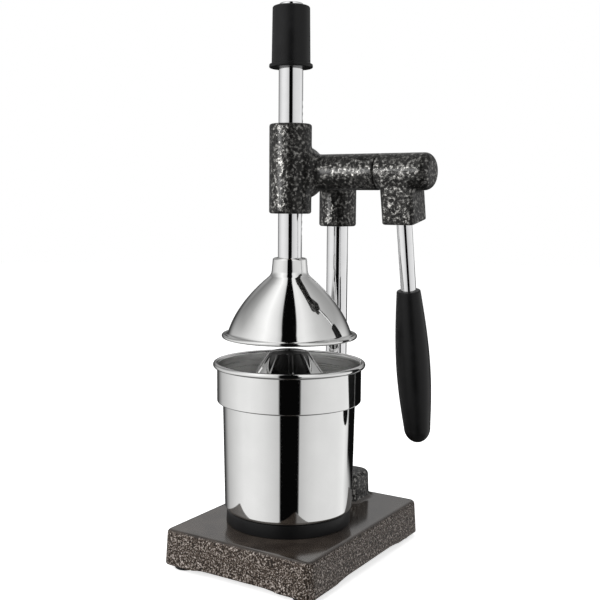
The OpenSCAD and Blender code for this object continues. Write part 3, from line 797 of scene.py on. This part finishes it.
@dataclass
class HeadUnit(Layout):
    """Column, and the head casting with its sleeve, gear housing, shaft tube and column boss."""

    sleeve_r: float = 14.0
    sleeve_z: float = 235.2
    sleeve_top: float = 293.8
    seam_x: float = 58.6
    housing_r: float = 17.0
    chamber_x: float = 8.0
    chamber_r: float = 12.2
    plug_x: float = 15.0
    plug_r: float = 13.0
    boss_r: float = 13.2
    boss_z: float = 225.6
    boss_top: float = 273.6
    roof: float = 4.0
    arm_w: float = 18.0
    arm_h: float = 22.0
    bush_r: float = 7.6
    rod_bush_r: float = 9.6
    washer_wall: float = 1.9
    washer_sunk: float = 1.2
    thread_l: float = 21.0
    cell: float = 0.8

    def field(self, x: Array, y: Array, z: Array) -> Array:
        """Field of the head: turned forms joined with fillets, less their bores."""
        across = np.hypot(y - self.axis_y, z - self.axis_z)
        ram, column = np.hypot(x, y), np.hypot(x, y - self.column_y)
        housing = common(across - self.housing_r, x - self.chamber_x, 5.0)
        housing = common(housing, -self.plug_x - x, 1.6)
        tube = common(common(across - self.tube_r, x - self.seam_x, 0.8), -x)
        sleeve = common(ram - self.sleeve_r, span(z, self.sleeve_z, self.sleeve_top), 1.6)
        head = union(union(housing, tube, 7.0), sleeve, 2.0)
        head = np.minimum(head, union(tube, sleeve, 7.5))
        boss = common(column - self.boss_r, span(z, self.boss_z, self.boss_top), 1.8)
        arm = rect_field(x, z - self.axis_z, self.arm_w / 2, self.arm_h / 2, 5.0)
        arm = common(arm, span(y, self.axis_y, self.column_y))
        head = union(head, union(arm, boss, 4.0), 4.0)
        grub_z = self.boss_z + (self.boss_top - self.boss_z) / 3
        return cut(head, [
            (ram - self.rod_bush_r, 0.5),
            (common(column - self.column_r - self.fit, z - self.boss_top + self.roof), 0.6),
            (common(across - self.chamber_r, np.abs(x) - self.chamber_x), 0.0),
            (common(across - self.plug_r, x + self.chamber_x), 0.4),
            (common(across - self.bush_r, -x), 0.0),
            (common(across - self.tube_r + self.washer_wall, self.seam_x - self.washer_sunk - x),
             0.2),
            (common(np.hypot(x, z - grub_z) - self.grub_r, self.column_y - y), 0.3),
        ])

    def casting(self) -> Surface:
        """Mesh of the head."""
        low = (-self.plug_x - 6.5, self.axis_y - self.housing_r - 12, self.boss_z - 1.2)
        high = (self.seam_x + 1.4, self.column_y + self.boss_r + 1.4, self.sleeve_top + 1.2)
        return surface_net(self.field, low, high, self.cell)

    def column(self) -> Surface:
        """Turned column with a threaded hole in its foot."""
        r, bolt, low = self.column_r, self.bolt_r, self.column_floor
        end, high = low + self.thread_l, self.boss_top - self.roof
        outline = filleted([(0, end, 0), (bolt, end, 0), (bolt, low, 0), (r, low, 1.0),
                            (r, high, 1.0), (0, high, 0)])
        return shifted(turned(outline, 128), 0, self.column_y)

    def build(self, finishes: Finishes) -> None:
        """Builds and dresses the sub-assembly."""
        add_piece("head_casting", self.casting(), Body.FRAME, Slot.HEAD, finishes, sharp=55)
        add_piece("column", self.column(), Body.FRAME, Slot.CHROME, finishes)


@dataclass
class LeverUnit(Layout):
    """Hub on the pinion shaft, bright rod and moulded grip; all hang at the lever's angle."""

    tilt: float = 10.5
    hub_dome: float = 0.48
    hub_x0: float = 59.0
    hub_x1: float = 95.6
    shaft_r: float = 6.0
    shaft_x1: float = 87.6
    rod_x: float = 73.6
    rod_r: float = 5.0
    rod_top: float = 11.0
    socket_w: float = 22.5
    socket_l: float = 22.0
    socket_h: float = 32.5
    grip_from: float = 78.0
    grip_l: float = 107.0
    grip_r0: float = 7.8
    grip_r1: float = 11.4
    grip_peak: float = 0.51
    grip_nose: float = 0.9
    rod_in_grip: float = 74.9
    cell: float = 0.6

    def placed(self, surface: Surface) -> Surface:
        """Turns a surface about the shaft's axis by the lever's angle and puts it there.

        A point (x, y, z) goes to (x, y cos a - z sin a, y sin a + z cos a), and on to the axis.
        """
        a = math.radians(self.tilt)
        turn = np.array([[1, 0, 0], [0, math.cos(a), -math.sin(a)], [0, math.sin(a), math.cos(a)]])
        return surface[0] @ turn.T + np.array([0, self.axis_y, self.axis_z]), surface[1]

    def hub_field(self, x: Array, y: Array, z: Array) -> Array:
        """Field of the hub, the shaft's axis along x and the rod down -z."""
        across, along = np.hypot(y, z), x - self.rod_x
        hub = common(across - self.tube_r, x - self.hub_x1, self.tube_r * self.hub_dome)
        hub = common(hub, self.hub_x0 - x, 0.8)
        socket = rect_field(along, y, self.socket_w / 2, self.socket_l / 2, 3.0)
        socket = common(common(socket, -self.socket_h - z, 1.2), z)
        hub = common(union(hub, socket, 2.5), self.hub_x0 - x, 0.3)
        return cut(hub, [
            (common(across - self.shaft_r - self.fit, x - self.shaft_x1 - 0.2), 0.0),
            (common(np.hypot(along, y) - self.rod_r - self.fit, z + self.rod_top), 0.5),
            (common(np.hypot(along, z) - self.grub_r, self.shaft_r - y), 0.3),
        ])

    def hub(self) -> Surface:
        """Mesh of the hub, in place."""
        side, room = self.tube_r + 1.5, 1.4
        low = (self.hub_x0 - room, -side, -self.socket_h - room)
        high = (self.hub_x1 + room, side, side)
        return self.placed(surface_net(self.hub_field, low, high, self.cell))

    def rod(self) -> Surface:
        """Turned rod, from its seat in the hub down into the grip."""
        r, low, high = self.rod_r, -self.grip_from - self.rod_in_grip, -self.rod_top
        outline = filleted([(0, low, 0), (r, low, 0.8), (r, high, 0.8), (0, high, 0)])
        return self.placed(shifted(turned(outline, 96), self.rod_x))

    def grip_radius(self, u: Array) -> Array:
        """Radius at share u of the grip's length.

        It swells as a quarter sine to the peak, thins as a cosine to the nose, and ends in a half
        ellipse.
        """
        peak, nose = self.grip_peak, self.grip_nose
        end = (self.grip_r0 + self.grip_r1) / 2 - 0.6
        swell = self.grip_r0 + (self.grip_r1 - self.grip_r0) * np.sin(np.pi / 2 * u / peak)
        fall = 1 - np.cos(np.pi / 2 * (u - peak) / (nose - peak))
        thin = self.grip_r1 - (self.grip_r1 - end) * fall
        tip = end * np.sqrt(np.clip(1 - ((u - nose) / (1 - nose)) ** 2, 0, 1))
        return np.where(u < peak, swell, np.where(u < nose, thin, tip))

    def grip(self) -> Surface:
        """Turned grip with a blind hole for the rod; its rings draw together at the nose."""
        high, hole = -self.grip_from, self.rod_r + self.fit
        tip = 1 - 0.1 * (1 - np.sin(np.linspace(0.03, np.pi / 2, 24)))
        u = np.concatenate([np.linspace(0.02, self.grip_nose, 90), tip])
        wall = np.stack([self.grip_radius(u), high - self.grip_l * u], 1)
        top = filleted([(hole, high, 0), (self.grip_r0, high, 0.9), (*wall[0], 0)])
        wall[-1, 0] = 0.0
        low = high - self.rod_in_grip - 0.2
        outline = np.concatenate([[[0, low], [hole, low]], top[:-1], wall])
        return self.placed(shifted(turned(outline, 128), self.rod_x))

    def build(self, finishes: Finishes) -> None:
        """Builds and dresses the sub-assembly."""
        add_piece("lever_hub", self.hub(), Body.LEVER, Slot.HEAD, finishes, sharp=55)
        add_piece("lever_rod", self.rod(), Body.LEVER, Slot.CHROME, finishes)
        add_piece("grip", self.grip(), Body.LEVER, Slot.RUBBER, finishes)


@dataclass
class RamUnit(Layout):
    """Toothed ram rod with its rubber cap above and the press bell below."""

    ram_r: float = 8.0
    spigot_r: float = 5.0
    rod_foot: float = 196.8
    neck_top: float = 205.8
    rod_top: float = 371.0
    tooth_m: float = 1.5
    tooth_tip: float = 0.8
    tooth_root: float = 1.1
    tooth_depth: float = 1.9
    press_a: float = 25.0
    rack_y: float = 5.7
    travel_up: float = 28.6
    travel_down: float = 35.2
    mesh_l: float = 6.9
    cap_z: float = 329.8
    cap_h: float = 39.2
    cap_r0: float = 12.2
    cap_r1: float = 12.7
    cap_lip_r: float = 14.4
    cap_lip_h: float = 2.4
    lip_z: float = 152.5
    bell_lip_r: float = 45.5
    bell_r: float = 41.4
    neck_r0: float = 11.3
    neck_r1: float = 12.3
    neck_h: float = 11.0
    bell_t: float = 1.2
    bead: float = 1.3

    def rod(self) -> Surface:
        """Rod with its rack on +Y.

        On rows in the rack, a point (R cos t, R sin t) takes the lesser of R sin t and the tooth
        line's depth at that height, which runs straight between the corners of the teeth. Tip,
        root and depth of a tooth are in modules.
        """
        r, rack, neck, module = self.ram_r, self.rack_y, self.neck_top, self.tooth_m
        pitch, end = math.pi * module, 0.02
        k0 = math.floor((-self.travel_up - self.mesh_l - pitch) / pitch)
        k1 = math.ceil((self.travel_down + self.mesh_l + pitch) / pitch) - 1
        slope, root = math.tan(math.radians(self.press_a)), rack - self.tooth_depth * module
        wide = pitch / 4 + self.tooth_tip * module * slope
        narrow = pitch / 4 - self.tooth_root * module * slope
        middles = self.axis_z + (np.arange(k0, k1 + 1) + 0.5) * pitch
        zs = [middles - wide, middles - narrow, middles + narrow, middles + wide]
        ys = np.tile([rack, root, root, rack], len(middles))
        low, high = self.axis_z + k0 * pitch, self.axis_z + (k1 + 1) * pitch
        zs = np.concatenate([[low - end, low + end], np.stack(zs, 1).ravel(),
                             [high - end, high + end]])
        ys = np.concatenate([[r, rack], ys, [rack, r]])
        foot = filleted([(0, self.rod_foot, 0), (self.spigot_r, self.rod_foot, 0.5),
                         (self.spigot_r, neck, 0), (r, neck, 0.4), (r, neck + 1, 0)])
        head = filleted([(r, self.rod_top - 3, 0), (r, self.rod_top, 1.2), (0, self.rod_top, 0)])
        pts, faces = turned(np.concatenate([foot, np.stack([0 * zs + r, zs], 1), head]), 128)
        pts[:, 1] = np.minimum(pts[:, 1], np.interp(pts[:, 2], zs, ys, left=r, right=r))
        return pts, faces

    def cap(self) -> Surface:
        """Turned rubber cap with a thin lip at its foot, open round the rod."""
        z, lip, hole = self.cap_z, self.cap_lip_h, self.ram_r + self.fit
        high = z + self.cap_h
        return turned(filleted([(hole, z, 0), (self.cap_lip_r, z, 0.8),
                                (self.cap_lip_r - 0.2, z + lip, 0.8),
                                (self.cap_r1, z + lip + 0.5, 0.6), (self.cap_r0, high, 1.3),
                                (hole, high, 0.4), (hole, z, 0)]), 128)

    def bell(self) -> Surface:
        """Turned bell of thin sheet: straight neck, hollow flare and rolled lip.

        The wall is a quadratic curve from the neck to the lip, whose ends slope 1.2 and 0.3 out for
        1 down, and its inner side is the same curve moved in by the sheet's thickness.
        """
        steep, flat, sheet, bead = 1.2, 0.3, self.bell_t, self.bead
        top, low, fit = self.neck_top, self.lip_z, self.spigot_r + self.fit
        a = np.array([self.neck_r1, top - self.neck_h])
        c = np.array([self.bell_r, low + 2 * bead + 0.6])
        s = (c[0] - a[0] - flat * (a[1] - c[1])) / (steep - flat)
        b = a + s * np.array([steep, -1.0])
        t = np.linspace(0, 1, 60)[:, None]
        outer = (1 - t) ** 2 * a + 2 * t * (1 - t) * b + t * t * c
        way = (1 - t) * (b - a) + t * (c - b)
        way = way / np.linalg.norm(way, axis=1)[:, None]
        inner = outer + sheet * np.stack([way[:, 1], -way[:, 0]], 1)
        roll = arc((self.bell_lip_r - bead, low + bead), bead, 100, -150, 20)
        neck = filleted([(fit, top, 0), (self.neck_r0, top, 1.4), (*outer[0], 6.0),
                         (*outer[8], 0)], 10)
        under = filleted([(*inner[-1], 0), (self.neck_r1 - sheet, top - self.neck_h, 1.0),
                          (self.neck_r0 - sheet, top - sheet, 0.6), (fit, top - sheet, 0)])
        lip = filleted([(*outer[-1], 0), (self.bell_r + 0.9, low + 2 * bead - 0.2, 1.0),
                        (*roll[0], 0)])
        return turned(np.concatenate([neck, outer[9:-1], lip[:-1], roll,
                                      [[self.bell_r - sheet, low + 0.7]], inner[::-1][1:-1],
                                      under[1:]]), 256)

    def build(self, finishes: Finishes) -> None:
        """Builds and dresses the sub-assembly."""
        add_piece("ram_rod", self.rod(), Body.RAM, Slot.CHROME, finishes, sharp=20)
        add_piece("ram_cap", self.cap(), Body.RAM, Slot.RUBBER, finishes)
        bell = add_piece("press_bell", self.bell(), Body.RAM, Slot.STAINLESS, finishes, sharp=50)
        # The bell's inner faces take the darkened copy of the sheet: painted shade under the bell.
        dress(bell, finishes.bell_inside, inner_faces(bell, -1, self.bell_r))


@dataclass
class CupUnit:
    """Collared cup with a rolled rim, and the ridged reamer on its strainer."""

    seat_top: float = 36.0
    cup_r0: float = 43.3
    cup_r1: float = 44.7
    collar_r: float = 48.6
    step_top: float = 110.5
    rim_z: float = 134.4
    sheet: float = 1.0
    bead: float = 1.85
    foot: float = 105.0
    skirt_r: float = 25.6
    reamer_r: float = 24.0
    shoulder: float = 128.0
    crown: float = 143.2
    crown_r: float = 13.0
    ridges: int = 10
    ridge_h: float = 0.9
    ridge_r: float = 1.8
    ridge_lean: float = 0.8

    def cup(self) -> Surface:
        """Turned cup: tapered wall, a ledge out to the collar, and a rim rolled outwards."""
        t, collar, ledge, seat = self.sheet, self.collar_r, self.step_top - 0.55, self.seat_top
        outer = filleted([(0, seat, 0), (self.cup_r0, seat, 2.5), (self.cup_r1, ledge - 0.9, 0.8),
                          (collar, ledge - 0.6, 1.1), (collar, self.rim_z - 1.65, 0)], 8)
        roll = arc((collar - t + self.bead, self.rim_z), self.bead, -110, 178, 32)
        inner = filleted([(collar - t, self.rim_z - 1, 0), (collar - t, ledge, 0.3),
                          (self.cup_r1 - t, ledge - 0.1, 1.0), (self.cup_r0 - t, seat + t, 2.0),
                          (0, seat + t, 0)], 8)
        return turned(np.concatenate([outer, roll, inner]), 256)

    def reamer(self) -> Surface:
        """Pressed dome on a skirt, with round ridges down its slope.

        Radius at height z and angle t is the dome's own radius there, plus what a bar of the
        ridge's radius, sunk to the ridge's height, stands out at the arc distance from its middle;
        the ridges fade in above the shoulder and out below the crown. Of what stands out, the
        share ridge_lean goes outwards and the rest upwards.
        """
        foot, shoulder, crown, crown_r = self.foot, self.shoulder, self.crown, self.crown_r
        low_r = self.reamer_r - 0.8
        outer = filleted([(0, foot, 0), (self.skirt_r, foot, 0.3),
                          (self.reamer_r, shoulder - 1, 0.8), (low_r, shoulder, 0.8),
                          (crown_r, crown - 1, 0), (crown_r - 2, crown, 1.0),
                          (3, crown + 0.4, 1.0), (1.6, crown + 1.3, 0.6), (0, crown + 1.6, 0)])
        inner = filleted([(0, crown - 2.5, 0), (crown_r - 3.2, crown - 3.5, 2.0),
                          (self.reamer_r - 3, shoulder - 2, 2.0), (self.skirt_r - 1, foot, 0)])
        at = np.argmax((outer[:, 1] > shoulder) & (outer[:, 0] < self.reamer_r))
        high = np.array([crown_r, crown - 1])
        slope = outer[at] + np.linspace(0, 1, 40)[1:-1, None] * (high - outer[at])
        after = outer[(outer[:, 0] < crown_r - 0.01) & (outer[:, 1] > shoulder + 2)]
        outer = np.concatenate([outer[1 : at + 1], slope, [high], after])
        pts, faces = turned(np.concatenate([inner, outer]), 360)
        r, z = np.hypot(pts[:, 0], pts[:, 1]), pts[:, 2]
        step = 2 * np.pi / self.ridges
        t = np.arctan2(pts[:, 1], pts[:, 0])
        off = np.abs((t / step) % 1 - 0.5) * step * r
        bar = np.sqrt(np.clip(self.ridge_r ** 2 - off ** 2, 0, None)) - self.ridge_r + self.ridge_h
        fade = np.clip((z - shoulder - 0.3) / 1.5, 0, 1) * np.clip((crown - 0.2 - z) / 1.2, 0, 1)
        rise = np.clip((z - shoulder) / (crown - 1 - shoulder), 0, 1)
        dome = low_r + (crown_r - self.reamer_r + 0.8) * rise
        out = np.where(r > dome - 0.5, np.clip(bar, 0, None) * fade, 0)
        pts[:, :2] *= ((r + out * self.ridge_lean) / np.maximum(r, 1e-6))[:, None]
        pts[:, 2] += out * (1 - self.ridge_lean)
        return pts, faces

    def build(self, finishes: Finishes) -> None:
        """Builds and dresses the sub-assembly."""
        cup = add_piece("cup", self.cup(), Body.CUP, Slot.STAINLESS, finishes, sharp=50)
        inner = inner_faces(cup, 1, self.collar_r - self.sheet + 0.2)
        dress(cup, finishes.cup_inside, inner)
        add_piece("reamer", self.reamer(), Body.CUP, Slot.STAINLESS, finishes, sharp=50)


@dataclass
class SmallParts:
    """CAD nodes that keep their own meshes: screws, bushes, washers, shaft and strainer."""

    nodes: tuple[tuple[Slot, tuple[str, ...]], ...] = (
        (Slot.STEEL, ("foot_screws", "column_bolt", "column_washer", "housing_plug",
                      "pinion_shaft", "bell_hub", "bell_washer", "bell_screw")),
        (Slot.BLACK_STEEL, ("head_grub_screw", "hub_grub_screw")),
        (Slot.BRONZE, ("upper_rod_bush", "lower_rod_bush", "shaft_inner_bush",
                       "shaft_outer_bush")),
        (Slot.NYLON, ("thrust_washer",)),
        (Slot.STAINLESS, ("strainer",)),
    )

    def build(self, finishes: Finishes) -> None:
        """Puts the finishes into the nodes' own material slots."""
        for slot, names in self.nodes:
            for name in names:
                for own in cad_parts[name].material_slots:
                    own.material = finishes[slot]
                LOG.info("%s: finish %s", name, slot.value)


# ---------------------------------------------------------------------------
# Studio and camera
# ---------------------------------------------------------------------------


def level(value: float) -> float:
    """Linear light of a brightness on the 0..255 display scale."""
    v = value / 255
    return v / 12.92 if v <= 0.04045 else ((v + 0.055) / 1.055) ** 2.4


def grey(value: float) -> tuple[float, float, float, float]:
    """Opaque grey of that linear light."""
    return value, value, value, 1.0


@dataclass(frozen=True)
class Lamp:
    """Soft square lamp that faces the middle of the press.

    Its azimuth is in degrees to the right of the camera, seen from the press, and its height in
    degrees above the horizon. Reach and side are in metres, and power in watts. It lights the
    pieces in `only` and shines on them, or else lights all pieces without a shine.
    """

    name: str
    azimuth: float
    height: float
    reach: float
    side: float
    power: float
    only: tuple[str, ...] = ()
    aim_z: float = 0.19

    def build(self) -> None:
        """Adds the lamp, with its back away from the press."""
        a, e = math.radians(CAMERA_TURN + self.azimuth), math.radians(self.height)
        away = np.array([math.sin(a) * math.cos(e), -math.cos(a) * math.cos(e), math.sin(e)])
        data = bpy.data.lights.new(self.name, "AREA")
        data.size, data.energy = self.side, self.power
        lamp = new_object(self.name, data)
        side = np.cross([0, 0, 1], away)
        side /= np.linalg.norm(side)
        turn = Matrix(np.stack([side, np.cross(away, side), away], 1).tolist()).to_4x4()
        place = away * self.reach + [0, 0, self.aim_z]
        lamp.matrix_world = Matrix.Translation(place.tolist()) @ turn
        lamp.visible_glossy = bool(self.only)
        if self.only:
            group = bpy.data.collections.new(self.name + "_pieces")
            for piece in self.only:
                group.objects.link(bpy.data.objects[piece])
            lamp.light_linking.receiver_collection = group


@dataclass
class Studio:
    """White studio: what bright metal mirrors all round, plain soft light, and a pale floor.

    Stops round the studio hold degrees from its middle and the display level that bright metal
    shows, which returns the share `mirror` of the light; those of the dark flag hold a share. A
    rise is a direction's share along Z, and a pair of them says where a tone starts and where it
    is full.
    """

    around: Stops = (
        (-180, 40), (-152, 70), (-132, 180), (-112, 205), (-86, 229), (-65, 231), (-45, 222),
        (-28, 207), (-16, 195), (-14.5, 6), (18.0, 6), (19.5, 188), (35, 205), (53, 216),
        (74, 220), (97, 224), (116, 236), (134, 190), (154, 70), (180, 40),
    )
    above: Stops = (
        (-180, 200), (-140, 120), (-110, 165), (-80, 225), (-50, 258), (-25, 225), (-16, 190),
        (-14.5, 6), (14.5, 6), (16, 230), (30, 238), (60, 200), (110, 165), (140, 150), (180, 200),
    )
    flag: Stops = ((127, 0), (130, 1), (164, 1), (168, 0))
    above_rise: tuple[float, float] = (0.04, 0.42)
    flag_rise: Stops = ((-0.34, -0.31), (-0.03, -0.06))
    flag_light: float = 0.004
    ground_rise: tuple[float, float] = (-0.45, -0.75)
    ground_share: float = 0.8
    ground_light: float = 0.01
    mirror: float = 0.9
    ambient: float = 0.34
    strip_rise: float = 0.55
    strip_growth: float = 0.8
    floor_r: float = 3.0
    floor_sides: int = 96
    floor_glow: float = 0.70
    lamps: tuple[Lamp, ...] = (
        Lamp("key_left", -66, 26, 1.5, 1.1, 17),
        Lamp("fill_right", 80, 30, 1.6, 1.2, 0.8),
        Lamp("over", 0, 82, 1.5, 1.2, 9),
        Lamp("enamel_key", -60, 8, 1.2, 0.45, 9.5, ("head_casting_skin", "lever_hub_skin")),
    )

    def world(self) -> None:
        """Sets the world: white to the camera, plain to matt surfaces, a studio to mirrors.

        A direction's angle from the middle of the studio is arctan(its share along the right, its
        share along the middle), and one colour ramp gives the brightness at that angle near the
        horizon and another above. Overhead, the middle's share grows by strip_growth times the
        height past strip_rise, which carries the dark strip on over the top.
        """
        world = bpy.data.worlds.new("studio_world")
        bpy.context.scene.world = world
        world.use_nodes = True
        g = Graph(world.node_tree, "Generated")
        a = math.radians(CAMERA_TURN)

        def share(x: float, y: float) -> Socket:
            """Share of the direction along (x, y)."""
            node = g.node("VectorMath", {0: g.coords, 1: (x, y, 0)}, operation="DOT_PRODUCT")
            return node.outputs["Value"]

        def step(start: float, full: float) -> Socket:
            """Goes smoothly from 0 where the rise is `start` to 1 where it is `full`."""
            return g.between(rise, start, full, curve="SMOOTHSTEP")

        def ring(stops: Stops) -> Socket:
            """Colour at the present angle, from stops of degrees and linear light."""
            return g.ramp(place, *(((turn + 180) / 360, grey(v)[:3]) for turn, v in stops))

        def lit(stops: Stops) -> Stops:
            """The stops with linear light in place of display levels."""
            return tuple((turn, level(value) / self.mirror) for turn, value in stops)

        rise = g.node("SeparateXYZ", {0: g.coords}).outputs["Z"]
        past = g.calc("MAXIMUM", g.calc("SUBTRACT", rise, self.strip_rise), 0.0)
        ahead = g.calc("ADD", share(math.sin(a), -math.cos(a)),
                       g.calc("MULTIPLY", past, self.strip_growth))
        angle = g.calc("ARCTAN2", share(math.cos(a), math.sin(a)), ahead)
        place = g.between(angle, -math.pi, math.pi)
        in_height = g.calc("MULTIPLY", *(step(*ends) for ends in self.flag_rise))
        flagged = g.calc("MULTIPLY", ring(self.flag), in_height)
        ground = g.calc("MULTIPLY", step(*self.ground_rise), self.ground_share)
        path = g.node("LightPath").outputs
        colour = g.mix(step(*self.above_rise), ring(lit(self.around)), ring(lit(self.above)))
        for factor, light in ((flagged, self.flag_light), (ground, self.ground_light),
                              (path["Is Diffuse Ray"], self.ambient), (path["Is Camera Ray"], 1.0)):
            colour = g.mix(factor, colour, grey(light))
        back = g.node("Background", {"Color": colour})
        g.node("OutputWorld", {"Surface": back.outputs[0]})

    def floor(self) -> None:
        """Adds the pale floor, a disc with its points at radius floor_r round the origin."""
        t = np.linspace(0, 2 * np.pi, self.floor_sides, endpoint=False)
        pts = np.stack([np.cos(t), np.sin(t), 0 * t], 1) * self.floor_r
        mesh = bpy.data.meshes.new("floor")
        mesh.from_pydata(pts.tolist(), [], [list(range(self.floor_sides))])
        obj = new_object("floor", mesh)
        n = Paint("pale_floor")
        tone = n.ramp(n.noise(3.0), (0.3, grey(0.86)[:3]), (0.7, grey(0.88)[:3]))
        camera_only = n.node("LightPath").outputs["Is Camera Ray"]
        mesh.materials.append(n.done(
            Base_Color=tone, Roughness=0.9, Specular_IOR_Level=0.1, Emission_Color=grey(1.0),
            Emission_Strength=n.between(camera_only, 0, 1, 0, self.floor_glow)))
        obj.visible_glossy = False

    def build(self) -> None:
        """Builds world, lamps and floor, and sets how the picture is shown."""
        self.world()
        for lamp in self.lamps:
            lamp.build()
        self.floor()
        bpy.context.scene.view_settings.view_transform = "Standard"
        LOG.info("studio: world, %d lamps, floor", len(self.lamps))


@dataclass
class ViewPoint:
    """Camera at the photograph's place: millimetres, degrees, and pixels for focus and frame."""

    side: float = 6.94
    reach: float = 632.8
    height: float = 245.5
    pitch: float = 6.13
    roll: float = 0.41
    focus: float = 949.7
    picture: float = 600.0
    sensor: float = 36.0

    def build(self) -> None:
        """Adds the camera: it looks level along its forward way, then pitched down and rolled."""
        a = math.radians(CAMERA_TURN)
        right = np.array([math.cos(a), math.sin(a), 0])
        ahead = np.array([-math.sin(a), math.cos(a), 0])
        place = (right * self.side - ahead * self.reach + [0, 0, self.height]) * MM
        data = bpy.data.cameras.new("camera")
        data.sensor_width = self.sensor
        data.lens = self.focus / self.picture * self.sensor
        data.clip_start, data.clip_end = 0.01, 50
        camera = new_object("camera", data)
        turn = (Matrix.Rotation(a, 4, "Z") @ Matrix.Rotation(math.radians(90 - self.pitch), 4, "X")
                @ Matrix.Rotation(math.radians(self.roll), 4, "Z"))
        camera.matrix_world = Matrix.Translation(place.tolist()) @ turn
        bpy.context.scene.camera = camera


def main() -> None:
    """Builds finishes, sub-assemblies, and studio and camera."""
    logging.basicConfig(level=logging.INFO, format="%(message)s")
    finishes = Finishes()
    for unit in (BaseUnit(), HeadUnit(), LeverUnit(), RamUnit(), CupUnit(), SmallParts()):
        unit.build(finishes)
        LOG.info("%s: done", type(unit).__name__)
    Studio().build()
    ViewPoint().build()


if __name__ == "__main__":
    main()
